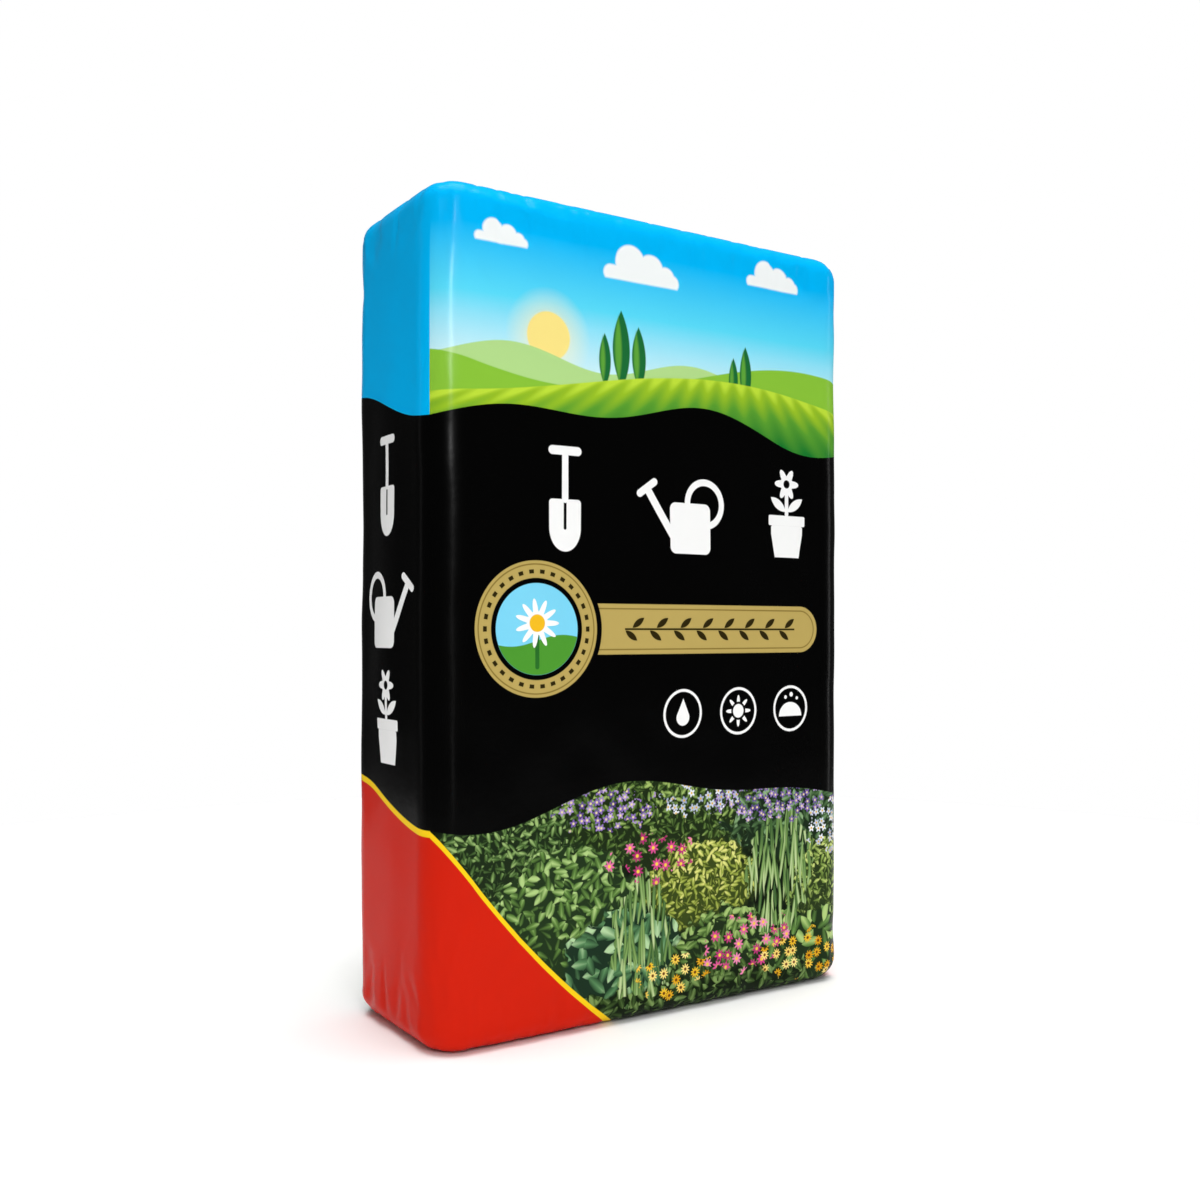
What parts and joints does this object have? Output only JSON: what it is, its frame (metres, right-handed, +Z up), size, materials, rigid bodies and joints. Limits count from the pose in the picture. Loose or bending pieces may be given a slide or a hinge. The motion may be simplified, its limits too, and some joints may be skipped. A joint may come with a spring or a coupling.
{
  "type": "bag of topsoil",
  "caption": "Upright sealed film bag of garden topsoil: a soft block with rounded edges, slightly crowned panels, a folded top with the seal fin laid flat, and a flat base.",
  "frame": {"origin": "middle of the flat base", "axes": "+Z up to the folded top, -Y out of the front panel, X across the front panel"},
  "size_m": [0.375, 0.155, 0.5866],
  "materials": {
    "printed_film": "printed polyethylene film with a soft gloss, in fields of blue, green, black, gold and red"
  },
  "bodies": {
    "root": {"topsoil_bag": "printed_film"}
  },
  "joints": []
}
